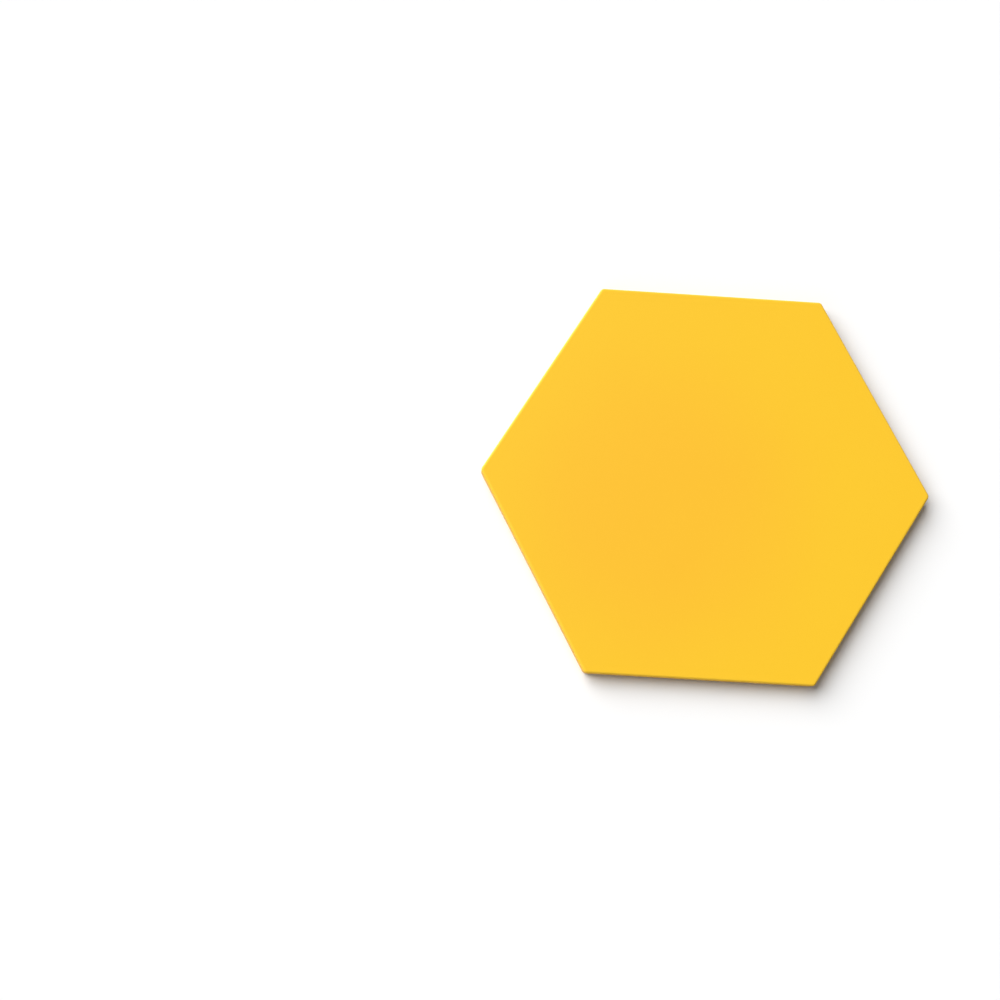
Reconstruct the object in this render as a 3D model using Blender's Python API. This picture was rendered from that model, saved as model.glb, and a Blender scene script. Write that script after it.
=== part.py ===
"""Hexagonal aluminium ceiling panel, folded from one sheet, with its stiffeners and hanging lugs.

Metres, +Z up. The origin is the middle of the panel's back, on the plane of the return lips, and +Z
points out of the visible face. The panel lies on its lips with the face up, as it is put down on a
table. Hung from a ceiling it is turned over, and +Z points down into the room.

The corners of the hexagon lie 0, 60, 120... degrees round from +X, and the middles of its sides lie
30, 90, 150... degrees round. Heights are above the plane of the lips, and an inset is a distance
inwards from the outside of a wall.
"""

import math

import bmesh
import bpy
from mathutils import Matrix, Vector

# The folded sheet
SIDE = 0.300  # side of the hexagon, between its sharp corners
DEPTH = 0.025  # from the visible face to the back of the lips
SHEET = 0.002  # thickness of the aluminium sheet
FOLD_INSIDE = 0.001  # inside radius of every fold
CORNER_INSIDE = 0.004  # inside radius of the upright corners, welded and dressed round
LIP_WIDTH = 0.020  # from the outside of the wall to the free edge of its lip
MITRE_GAP = 0.0012  # open seam between two lips
RELIEF_RADIUS = 0.0025  # hole that ends each seam

# Clearance between pieces that touch on the real panel
SEAT = 0.0003

# Corner gussets, inside the lips
GUSSET_SHEET = 0.002
GUSSET_LEG = 0.052  # length of each leg, from the corner of the hexagon
GUSSET_EDGE = 0.0015  # how far the gusset stays back from the free edge of the lips
GUSSET_ROUNDING = 0.004
GUSSET_RIVET_ALONG = 0.036  # rivet's distance from the corner of the hexagon

# Hanging lugs, inside the lips at the middle of each side
LUG_SHEET = 0.0025
LUG_WIDTH = 0.062
LUG_BEND_INSIDE = 0.0015
LUG_STEP_START = 0.003  # from the free edge of the lip to the step
LUG_STEP_RUN = 0.006  # length of the slope that steps back level with the lips
LUG_TONGUE = 0.032  # level tongue past the step, which carries the slot
LUG_TURN_UP = 0.009  # height of the stiffening edge at the end of the tongue
LUG_ROUNDING = 0.005
LUG_RIVET_EDGE = 0.010  # from a rivet to the side of the lug
SLOT_LENGTH = 0.020
SLOT_WIDTH = 0.007  # for a 6 mm hanger rod
SLOT_FROM_STEP = 0.014  # slot's centre line, from the end of the step

# Flush blind rivets
RIVET_RADIUS = 0.002
RIVET_HEAD_RADIUS = 0.00375
RIVET_HEAD_ANGLE = math.radians(60)  # half of the 120 degree countersink
RIVET_RECESS = 0.0002  # how far the head lies below the surface of the lip
RIVET_TAIL_RADIUS = 0.0031  # blind head, formed on the far side
RIVET_TAIL_HEIGHT = 0.003
MANDREL_RADIUS = 0.0011  # pit where the pulling pin broke off
MANDREL_DEPTH = 0.0008

# Stiffening channels on the back of the face
RIB_SPACING = 0.200  # between the middles of the two channels
RIB_WIDTH = 0.030
RIB_HEIGHT = 0.014
RIB_SHEET = 0.0015
RIB_BEND_INSIDE = 0.001
RIB_END_ROOM = 0.010  # from the end of a channel to the free edge of the lip
RIB_SNIP = 0.007  # corner cut off each end of the channel's legs
RIB_HOLE_LENGTH = 0.012
STUD_FROM_END = 0.055  # outer studs, from the ends of a channel

# Weld studs and flange nuts
STUD_RADIUS = 0.0025
STUD_LENGTH = 0.012
STUD_CHAMFER = 0.0006
STUD_FLANGE_RADIUS = 0.00325
STUD_FLANGE_HEIGHT = 0.0008
NUT_ACROSS_FLATS = 0.008
NUT_HEIGHT = 0.005
NUT_CHAMFER = 0.0007
NUT_FLANGE_RADIUS = 0.0059
NUT_FLANGE_EDGE = 0.0008
NUT_FLANGE_HEIGHT = 0.0018

# Facets of the round shapes
CORNER_STEPS = 6
FOLD_STEPS = 5
INSIDE_FOLD_STEPS = 3
BEND_STEPS = 3
ROUNDING_STEPS = 3
ROUND_STEPS = 12

SIDES = 6
SIXTH = math.radians(60)
HALF_SIXTH = math.radians(30)
WELD = 1e-7
SHARP_ANGLE = math.radians(32)

# Worked out from the sizes above
APOTHEM = SIDE * math.cos(HALF_SIXTH)
FOLD_OUTSIDE = FOLD_INSIDE + SHEET
CORNER_OUTSIDE = CORNER_INSIDE + SHEET
LIP_MIDDLE = (FOLD_OUTSIDE + LIP_WIDTH) / 2
BACK_OF_FACE = DEPTH - SHEET
PLATE_BOTTOM = SHEET + SEAT
NUT_SEAT = BACK_OF_FACE - SEAT - RIB_SHEET - SEAT
RIB_HALF_LENGTH = APOTHEM - LIP_WIDTH - RIB_END_ROOM
LUG_START = FOLD_OUTSIDE + SEAT
LUG_STEP_INSET = LIP_WIDTH + LUG_STEP_START
LUG_END = LUG_STEP_INSET + LUG_STEP_RUN + LUG_TONGUE
SLOT_INSET = LUG_STEP_INSET + LUG_STEP_RUN + SLOT_FROM_STEP


def clear_scene():
    for thing in list(bpy.data.objects):
        bpy.data.objects.remove(thing, do_unlink=True)


def finish_mesh(name, shape):
    """Turn a bmesh into a mesh with welded points, outward faces and smooth round parts."""
    bmesh.ops.remove_doubles(shape, verts=shape.verts, dist=WELD)
    bmesh.ops.recalc_face_normals(shape, faces=shape.faces)
    mesh = bpy.data.meshes.new(name)
    shape.to_mesh(mesh)
    shape.free()
    return mesh


def arc(centre, radius, start, end, steps):
    """Points along an arc in a plane, its angles in degrees."""
    points = []
    for step in range(steps + 1):
        angle = math.radians(start + (end - start) * step / steps)
        points.append(Vector(centre) + radius * Vector((math.cos(angle), math.sin(angle))))
    return points


def slot_outline(centre, length, width, along):
    """Stadium of a slot, its long way along the given angle in degrees; a round hole if length is width."""
    reach = (length - width) / 2
    direction = Vector((math.cos(math.radians(along)), math.sin(math.radians(along))))
    half_round = ROUND_STEPS // 2
    far = arc(Vector(centre) + reach * direction, width / 2, along - 90, along + 90, half_round)
    near = arc(Vector(centre) - reach * direction, width / 2, along + 90, along + 270, half_round)
    return far + near


def add_prism(shape, outline, low, high, across_y=False):
    """Extrude an outline up from low to high, or along Y with its second axis pointing up."""
    corners = []
    for point in outline:
        place = (point[0], low, point[1]) if across_y else (point[0], point[1], low)
        corners.append(shape.verts.new(place))
    bmesh.ops.remove_doubles(shape, verts=corners, dist=WELD)
    face = shape.faces.new([corner for corner in corners if corner.is_valid])
    extruded = bmesh.ops.extrude_face_region(shape, geom=[face])
    top = [item for item in extruded["geom"] if isinstance(item, bmesh.types.BMVert)]
    rise = (0, high - low, 0) if across_y else (0, 0, high - low)
    bmesh.ops.translate(shape, verts=top, vec=rise)


def add_turned(shape, profile, steps, place=(0, 0, 0)):
    """Spin a profile of (radius, height) points, which starts and ends on the axis, about Z."""
    verts = [shape.verts.new((radius, 0, height)) for radius, height in profile]
    edges = [shape.edges.new(pair) for pair in zip(verts, verts[1:])]
    before = set(shape.verts) - set(verts)
    bmesh.ops.spin(
        shape,
        geom=verts + edges,
        cent=(0, 0, 0),
        axis=(0, 0, 1),
        angle=2 * math.pi,
        steps=steps,
        use_merge=True,
    )
    made = [vert for vert in shape.verts if vert not in before]
    bmesh.ops.remove_doubles(shape, verts=made, dist=WELD)
    made = [vert for vert in shape.verts if vert not in before]
    bmesh.ops.translate(shape, verts=made, vec=place)


def is_upright(edge):
    low, high = (vert.co for vert in edge.verts)
    return (low.xy - high.xy).length < WELD


def both_ends(edge, test):
    return all(test(vert.co) for vert in edge.verts)


def round_edges(shape, test, reach, steps):
    """Round off the edges that pass a test, from a reach on each side; a single step cuts them straight."""
    bmesh.ops.recalc_face_normals(shape, faces=shape.faces)
    chosen = [edge for edge in shape.edges if test(edge)]
    bmesh.ops.bevel(
        shape, geom=chosen, offset=reach, segments=steps, profile=0.5, affect="EDGES", clamp_overlap=True
    )


def combined(name, body, tool, operation):
    """Mesh of one closed body cut, joined or trimmed by another with an exact Boolean."""
    helpers = [bpy.data.objects.new("body", body), bpy.data.objects.new("tool", tool)]
    for helper in helpers:
        bpy.context.scene.collection.objects.link(helper)
    boolean = helpers[0].modifiers.new("shape", "BOOLEAN")
    boolean.operation = operation
    boolean.solver = "EXACT"
    boolean.object = helpers[1]
    bpy.context.view_layer.update()
    graph = bpy.context.evaluated_depsgraph_get()
    result = bpy.data.meshes.new_from_object(helpers[0].evaluated_get(graph))
    result.name = name
    for helper in helpers:
        bpy.data.objects.remove(helper, do_unlink=True)
    return result


def strip_section(path, inside_radius, thickness):
    """Outline of a bent strip: both sides of a centre line, with a round bend at each of its corners."""
    left = []
    right = []
    radius = inside_radius + thickness / 2
    for index, point in enumerate(path):
        before = (point - path[index - 1]).normalized() if index else None
        after = (path[index + 1] - point).normalized() if index < len(path) - 1 else None
        if before is None or after is None:
            along = after or before
            normal = Vector((-along.y, along.x)) * thickness / 2
            left.append(point + normal)
            right.append(point - normal)
            continue
        turn = math.atan2(before.x * after.y - before.y * after.x, before.dot(after))
        hand = math.copysign(1, turn)
        outward = Vector((before.y, -before.x)) * hand
        centre = point - before * radius * math.tan(abs(turn) / 2) - outward * radius
        for step in range(BEND_STEPS + 1):
            spoke = Matrix.Rotation(turn * step / BEND_STEPS, 2) @ outward
            left.append(centre + spoke * (radius - hand * thickness / 2))
            right.append(centre + spoke * (radius + hand * thickness / 2))
    return left + right[::-1]


def hexagon_ring(inset, height):
    """Points round the hexagon at one inset and height; the corners tighten as the inset grows."""
    radius = max(CORNER_OUTSIDE - inset, 0)
    to_centre = (APOTHEM - inset - radius) / math.cos(HALF_SIXTH)
    points = []
    for corner in range(SIDES):
        middle = corner * SIXTH
        centre = Vector((math.cos(middle), math.sin(middle))) * to_centre
        turn = math.degrees(middle)
        for point in arc(centre, radius, turn - 30, turn + 30, CORNER_STEPS):
            points.append((point.x, point.y, height))
    return points


def tray_section():
    """(inset, height) of the folded sheet, from the visible face round the lip to the back of the face."""
    upper = (FOLD_OUTSIDE, DEPTH - FOLD_OUTSIDE)
    lower = (FOLD_OUTSIDE, FOLD_OUTSIDE)
    outside = arc(upper, FOLD_OUTSIDE, 90, 180, FOLD_STEPS) + arc(lower, FOLD_OUTSIDE, 180, 270, FOLD_STEPS)
    free_edge = [Vector((LIP_WIDTH, 0)), Vector((LIP_WIDTH, SHEET))]
    inside = arc(lower, FOLD_INSIDE, 270, 180, INSIDE_FOLD_STEPS) + arc(upper, FOLD_INSIDE, 180, 90, INSIDE_FOLD_STEPS)
    return outside + free_edge + inside


def beside_corner(along, inset, hand):
    """Point beside the corner on +X: a distance along one of its sides, and inwards from that side.

    hand is 1 for the side that runs towards +Y, and -1 for the other.
    """
    x = SIDE - along * math.sin(HALF_SIXTH) - inset * math.cos(HALF_SIXTH)
    y = along * math.cos(HALF_SIXTH) - inset * math.sin(HALF_SIXTH)
    return Vector((x, hand * y))


def gusset_rivet_points():
    return [beside_corner(GUSSET_RIVET_ALONG, LIP_MIDDLE, hand) for hand in (1, -1)]


def lug_rivet_points():
    return [Vector((APOTHEM - LIP_MIDDLE, hand * (LUG_WIDTH / 2 - LUG_RIVET_EDGE))) for hand in (1, -1)]


def round_the_hexagon(points, start):
    """The points of one side or corner turned to all six, beginning at the given angle."""
    turned = []
    for index in range(SIDES):
        turned += [Matrix.Rotation(start + index * SIXTH, 2) @ point for point in points]
    return turned


def rivet_sink_profile():
    """Countersunk hole for a flush rivet, from below the lip to above it."""
    wide = RIVET_HEAD_RADIUS + RIVET_RECESS * math.tan(RIVET_HEAD_ANGLE) + SEAT
    narrow = RIVET_RADIUS + SEAT
    return [
        (0, -SHEET),
        (wide, -SHEET),
        (wide, 0),
        (narrow, (wide - narrow) / math.tan(RIVET_HEAD_ANGLE)),
        (narrow, 2 * SHEET),
        (0, 2 * SHEET),
    ]


def mitre_outline():
    """Open seam between two lips at the corner on +X, widened into its relief hole."""
    inner_corner = (APOTHEM - LIP_WIDTH) / math.cos(HALF_SIXTH)
    wall = (APOTHEM - CORNER_OUTSIDE) / math.cos(HALF_SIXTH) + CORNER_OUTSIDE
    relief = wall - FOLD_OUTSIDE - RELIEF_RADIUS
    mouth = inner_corner - LIP_WIDTH
    half = MITRE_GAP / 2
    opening = math.degrees(math.asin(half / RELIEF_RADIUS))
    return [
        Vector((mouth, half)),
        Vector((mouth, -half)),
        *arc((relief, 0), RELIEF_RADIUS, opening - 180, 180 - opening, ROUND_STEPS),
    ]


def tray_mesh():
    """The folded sheet: its section carried round the hexagon, then the mitres and rivet holes cut."""
    shape = bmesh.new()
    rings = []
    for inset, height in tray_section():
        rings.append([shape.verts.new(point) for point in hexagon_ring(inset, height)])
    for ring, following in zip(rings, rings[1:]):
        for index in range(len(ring)):
            after = (index + 1) % len(ring)
            shape.faces.new((ring[index], ring[after], following[after], following[index]))
    shape.faces.new(rings[0])
    shape.faces.new(rings[-1][::-1])
    folded = finish_mesh("folded_sheet", shape)

    cuts = bmesh.new()
    for corner in range(SIDES):
        outline = [Matrix.Rotation(corner * SIXTH, 2) @ point for point in mitre_outline()]
        add_prism(cuts, outline, -SHEET, 2 * SHEET)
    sinks = round_the_hexagon(gusset_rivet_points(), 0) + round_the_hexagon(lug_rivet_points(), HALF_SIXTH)
    for point in sinks:
        add_turned(cuts, rivet_sink_profile(), ROUND_STEPS, (point.x, point.y, 0))
    return combined("face_tray", folded, finish_mesh("lip_cuts", cuts), "DIFFERENCE")


def gusset_mesh():
    """Angled plate that spans a mitre inside the lips, at the corner on +X."""
    outer = FOLD_OUTSIDE + SEAT
    inner = LIP_WIDTH - GUSSET_EDGE
    outline = [
        beside_corner(outer * math.tan(HALF_SIXTH), outer, 1),
        beside_corner(GUSSET_LEG, outer, 1),
        beside_corner(GUSSET_LEG, inner, 1),
        beside_corner(inner * math.tan(HALF_SIXTH), inner, 1),
        beside_corner(GUSSET_LEG, inner, -1),
        beside_corner(GUSSET_LEG, outer, -1),
    ]
    shape = bmesh.new()
    add_prism(shape, outline, PLATE_BOTTOM, PLATE_BOTTOM + GUSSET_SHEET)
    outer_corner = outline[0]
    round_edges(
        shape,
        lambda edge: is_upright(edge) and (edge.verts[0].co.xy - outer_corner).length < WELD,
        (CORNER_OUTSIDE - outer) * math.tan(HALF_SIXTH),
        CORNER_STEPS,
    )
    half_way = GUSSET_LEG * math.cos(HALF_SIXTH) / 2
    round_edges(
        shape,
        lambda edge: is_upright(edge) and abs(edge.verts[0].co.y) > half_way,
        GUSSET_ROUNDING,
        ROUNDING_STEPS,
    )
    plate = finish_mesh("gusset_plate", shape)

    cuts = bmesh.new()
    for point in gusset_rivet_points():
        hole = slot_outline(point, 2 * (RIVET_RADIUS + SEAT), 2 * (RIVET_RADIUS + SEAT), 0)
        add_prism(cuts, hole, PLATE_BOTTOM - SHEET, PLATE_BOTTOM + GUSSET_SHEET + SHEET)
    return combined("corner_gusset", plate, finish_mesh("gusset_cuts", cuts), "DIFFERENCE")


def lug_mesh():
    """Bent hanging lug on the side whose middle is on +X."""
    seated = PLATE_BOTTOM + LUG_SHEET / 2
    level = LUG_SHEET / 2
    turn = APOTHEM - LUG_END + LUG_SHEET / 2
    path = [
        Vector((APOTHEM - LUG_START, seated)),
        Vector((APOTHEM - LUG_STEP_INSET, seated)),
        Vector((APOTHEM - LUG_STEP_INSET - LUG_STEP_RUN, level)),
        Vector((turn, level)),
        Vector((turn, LUG_TURN_UP)),
    ]
    shape = bmesh.new()
    section = strip_section(path, LUG_BEND_INSIDE, LUG_SHEET)
    add_prism(shape, section, -LUG_WIDTH / 2, LUG_WIDTH / 2, across_y=True)
    start = APOTHEM - LUG_START - WELD
    end = LUG_TURN_UP - WELD
    at_side = LUG_WIDTH / 2 - WELD
    round_edges(
        shape,
        lambda edge: both_ends(edge, lambda co: abs(co.y) > at_side and (co.x > start or co.z > end)),
        LUG_ROUNDING,
        ROUNDING_STEPS,
    )
    strip = finish_mesh("lug_strip", shape)

    cuts = bmesh.new()
    for point in lug_rivet_points():
        hole = slot_outline(point, 2 * (RIVET_RADIUS + SEAT), 2 * (RIVET_RADIUS + SEAT), 0)
        add_prism(cuts, hole, PLATE_BOTTOM - SHEET, PLATE_BOTTOM + LUG_SHEET + SHEET)
    slot = slot_outline((APOTHEM - SLOT_INSET, 0), SLOT_LENGTH, SLOT_WIDTH, 90)
    add_prism(cuts, slot, -LUG_SHEET, 2 * LUG_SHEET)
    return combined("hanging_lug", strip, finish_mesh("lug_cuts", cuts), "DIFFERENCE")


def rivet_mesh(name, plate):
    """Flush blind rivet through a lip and a plate of the given thickness, its axis on Z."""
    far_side = PLATE_BOTTOM + plate + SEAT
    sink = (RIVET_HEAD_RADIUS - RIVET_RADIUS) / math.tan(RIVET_HEAD_ANGLE)
    tail_chamfer = RIVET_TAIL_RADIUS - RIVET_RADIUS
    profile = [
        (0, RIVET_RECESS + MANDREL_DEPTH),
        (MANDREL_RADIUS, RIVET_RECESS + MANDREL_DEPTH),
        (MANDREL_RADIUS, RIVET_RECESS),
        (RIVET_HEAD_RADIUS, RIVET_RECESS),
        (RIVET_RADIUS, RIVET_RECESS + sink),
        (RIVET_RADIUS, far_side),
        (RIVET_TAIL_RADIUS, far_side),
        (RIVET_TAIL_RADIUS, far_side + RIVET_TAIL_HEIGHT - tail_chamfer),
        (RIVET_RADIUS, far_side + RIVET_TAIL_HEIGHT),
        (0, far_side + RIVET_TAIL_HEIGHT),
    ]
    shape = bmesh.new()
    add_turned(shape, profile, ROUND_STEPS)
    return finish_mesh(name, shape)


def stud_places():
    """Heights of the studs along a channel: one in the middle and one near each end."""
    reach = RIB_HALF_LENGTH - STUD_FROM_END
    return [-reach, 0, reach]


def stiffener_mesh():
    """U channel along Y, its web on the back of the face and its legs pointing away from it."""
    web = BACK_OF_FACE - SEAT - RIB_SHEET / 2
    leg_end = BACK_OF_FACE - SEAT - RIB_HEIGHT
    half = (RIB_WIDTH - RIB_SHEET) / 2
    path = [Vector((-half, leg_end)), Vector((-half, web)), Vector((half, web)), Vector((half, leg_end))]
    shape = bmesh.new()
    section = strip_section(path, RIB_BEND_INSIDE, RIB_SHEET)
    add_prism(shape, section, -RIB_HALF_LENGTH, RIB_HALF_LENGTH, across_y=True)
    round_edges(
        shape,
        lambda edge: both_ends(edge, lambda co: abs(co.y) > RIB_HALF_LENGTH - WELD and co.z < leg_end + WELD),
        RIB_SNIP,
        1,
    )
    channel = finish_mesh("stiffener_channel", shape)

    cuts = bmesh.new()
    hole_width = 2 * (STUD_FLANGE_RADIUS + SEAT)
    for along in stud_places():
        add_prism(cuts, slot_outline((0, along), RIB_HOLE_LENGTH, hole_width, 90), web - RIB_SHEET, web + RIB_SHEET)
    return combined("stiffener", channel, finish_mesh("stiffener_cuts", cuts), "DIFFERENCE")


def stud_mesh():
    """Weld stud hanging from the back of the face, its axis on Z; the thread is left plain."""
    top = BACK_OF_FACE - SEAT
    profile = [
        (0, top - STUD_LENGTH),
        (STUD_RADIUS - STUD_CHAMFER, top - STUD_LENGTH),
        (STUD_RADIUS, top - STUD_LENGTH + STUD_CHAMFER),
        (STUD_RADIUS, top - STUD_FLANGE_HEIGHT),
        (STUD_FLANGE_RADIUS, top - STUD_FLANGE_HEIGHT),
        (STUD_FLANGE_RADIUS, top),
        (0, top),
    ]
    shape = bmesh.new()
    add_turned(shape, profile, ROUND_STEPS)
    return finish_mesh("weld_stud", shape)


def nut_mesh():
    """Hexagon nut with a round flange, seated on the channel's web, its axis on Z."""
    low = NUT_SEAT - NUT_HEIGHT
    corner = NUT_ACROSS_FLATS / 2 / math.cos(HALF_SIXTH)
    hexagon = bmesh.new()
    outline = [Vector((corner * math.cos(k * SIXTH), corner * math.sin(k * SIXTH))) for k in range(SIDES)]
    add_prism(hexagon, outline, low, NUT_SEAT)

    envelope = bmesh.new()
    flange_top = NUT_SEAT - NUT_FLANGE_HEIGHT
    add_turned(
        envelope,
        [
            (0, low),
            (corner - NUT_CHAMFER, low),
            (corner, low + NUT_CHAMFER),
            (corner, NUT_SEAT),
            (0, NUT_SEAT),
        ],
        ROUND_STEPS * 2,
    )
    chamfered = combined(
        "nut_hexagon", finish_mesh("nut_blank", hexagon), finish_mesh("nut_envelope", envelope), "INTERSECT"
    )

    flange = bmesh.new()
    add_turned(
        flange,
        [
            (0, flange_top),
            (NUT_ACROSS_FLATS / 2 - NUT_CHAMFER, flange_top),
            (NUT_FLANGE_RADIUS, NUT_SEAT - NUT_FLANGE_EDGE),
            (NUT_FLANGE_RADIUS, NUT_SEAT),
            (0, NUT_SEAT),
        ],
        ROUND_STEPS * 2,
    )
    solid = combined("nut_solid", chamfered, finish_mesh("nut_flange", flange), "UNION")

    bore = bmesh.new()
    bore_width = 2 * (STUD_RADIUS + SEAT)
    add_prism(bore, slot_outline((0, 0), bore_width, bore_width, 0), low - SHEET, NUT_SEAT + SHEET)
    return combined("flange_nut", solid, finish_mesh("nut_bore", bore), "DIFFERENCE")


def make_material(name, colour, roughness, metallic):
    material = bpy.data.materials.new(name)
    material.use_nodes = True
    shader = material.node_tree.nodes["Principled BSDF"]
    shader.inputs["Base Color"].default_value = (*colour, 1)
    shader.inputs["Roughness"].default_value = roughness
    shader.inputs["Metallic"].default_value = metallic
    material.diffuse_color = (*colour, 1)
    return material


def yellow_powder_coat():
    return make_material("yellow_powder_coat", (0.98, 0.56, 0.035), 0.55, 0.0)


def mill_aluminium():
    return make_material("mill_aluminium", (0.75, 0.76, 0.77), 0.4, 1.0)


def drawn_aluminium():
    return make_material("drawn_aluminium", (0.80, 0.80, 0.81), 0.3, 1.0)


def zinc_plate():
    return make_material("zinc_plate", (0.66, 0.68, 0.70), 0.35, 1.0)


def place(name, mesh, material, angle=0.0, location=(0, 0, 0)):
    """Put one named piece into the scene, turned about Z and moved."""
    piece = bpy.data.objects.new(name, mesh)
    if not mesh.materials:
        mesh.materials.append(material)
        mesh.shade_smooth()
        mesh.set_sharp_from_angle(angle=SHARP_ANGLE)
    piece.rotation_euler = (0, 0, angle)
    piece.location = location
    bpy.context.scene.collection.objects.link(piece)
    return piece


def place_round(name, mesh, material, points, start):
    """Put a piece at each point of one side or corner, and so all round the hexagon."""
    for number, point in enumerate(round_the_hexagon(points, start), 1):
        place(f"{name}_{number}", mesh, material, location=(point.x, point.y, 0))


def build():
    clear_scene()
    mill = mill_aluminium()
    drawn = drawn_aluminium()
    plated = zinc_plate()

    place("face_tray", tray_mesh(), yellow_powder_coat())

    gusset = gusset_mesh()
    lug = lug_mesh()
    for index in range(SIDES):
        place(f"corner_gusset_{index + 1}", gusset, mill, angle=index * SIXTH)
        place(f"hanging_lug_{index + 1}", lug, mill, angle=HALF_SIXTH + index * SIXTH)
    place_round("gusset_rivet", rivet_mesh("gusset_rivet", GUSSET_SHEET), drawn, gusset_rivet_points(), 0)
    place_round("lug_rivet", rivet_mesh("lug_rivet", LUG_SHEET), drawn, lug_rivet_points(), HALF_SIXTH)

    stiffener = stiffener_mesh()
    stud = stud_mesh()
    nut = nut_mesh()
    number = 0
    for channel, hand in enumerate((-1, 1), 1):
        middle = hand * RIB_SPACING / 2
        place(f"stiffener_{channel}", stiffener, mill, location=(middle, 0, 0))
        for along in stud_places():
            number += 1
            place(f"weld_stud_{number}", stud, drawn, location=(middle, along, 0))
            place(f"flange_nut_{number}", nut, plated, location=(middle, along, 0))


if __name__ == "__main__":
    build()
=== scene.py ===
"""Dresses the hexagonal aluminium ceiling panel: its folded, powder coated tray and its hardware.

Metres, +Z up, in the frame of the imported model. The panel lies on its return lips with its visible
face up. The corners of the hexagon lie 0, 60, 120... degrees round from +X and the middles of its
sides lie 30, 90, 150... degrees round. An inset is a distance inwards from the outside of a wall.
"""

import logging
import math
from contextlib import contextmanager
from dataclasses import dataclass
from enum import Enum
from typing import Callable, Iterable, Iterator, Sequence

import bmesh
import bpy
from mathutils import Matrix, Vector


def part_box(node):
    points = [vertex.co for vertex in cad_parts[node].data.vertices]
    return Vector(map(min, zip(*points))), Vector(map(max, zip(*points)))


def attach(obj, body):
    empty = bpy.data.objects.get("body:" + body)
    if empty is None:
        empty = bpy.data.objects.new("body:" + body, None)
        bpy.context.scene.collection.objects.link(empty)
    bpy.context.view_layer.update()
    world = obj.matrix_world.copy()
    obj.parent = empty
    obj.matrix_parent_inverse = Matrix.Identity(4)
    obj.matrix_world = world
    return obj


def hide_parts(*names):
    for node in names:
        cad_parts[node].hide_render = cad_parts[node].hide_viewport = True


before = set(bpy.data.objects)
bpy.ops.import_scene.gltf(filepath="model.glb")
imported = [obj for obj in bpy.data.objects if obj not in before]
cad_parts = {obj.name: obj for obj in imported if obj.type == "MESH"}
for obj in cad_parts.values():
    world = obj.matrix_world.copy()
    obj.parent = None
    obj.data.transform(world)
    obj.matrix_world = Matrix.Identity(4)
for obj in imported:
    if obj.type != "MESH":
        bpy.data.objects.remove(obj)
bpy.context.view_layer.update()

Colour = tuple[float, float, float]
Place = tuple[float, float, float]
Span = tuple[float, float]
Piece = bpy.types.Object
Socket = bpy.types.NodeSocket

SIDES = 6
SIXTH = math.radians(60)
HALF_SIXTH = math.radians(30)
SINK_ANGLE = math.radians(60)  # half the angle of the rivets' countersinks
WELD = 1e-6  # points closer than this are at the same place
ROUND_AT_120 = 0.536  # bevel profile that rounds a 120 degree corner to a true arc
CORNER_STEPS = 16  # facets round an upright corner
FOLD_STEPS = 8  # facets round a fold of the tray
BEND_STEPS = 6  # facets round the other bends and rounded corners
ROUND_STEPS = 32  # facets round holes and fasteners
SEAT = 0.0003  # air between pieces that touch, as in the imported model
GRAIN_SHIFT = 0.37  # step that gives each copy other marks
LOCAL_PLACE = "local_place"  # attribute that holds a piece's own coordinates for its grain

log = logging.getLogger("panel")


class Slot(Enum):
    """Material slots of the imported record."""

    POWDER_COAT = "yellow_powder_coat"
    MILL = "mill_aluminium"
    DRAWN = "drawn_aluminium"
    ZINC = "zinc_plate"


class Effect(Enum):
    """Surface effects that several finishes share, each one shader node group."""

    CLOUDS = "cloudy_variation"
    ROLLED_GRAIN = "rolled_grain"
    HAIRLINES = "hairline_scratches"


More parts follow.
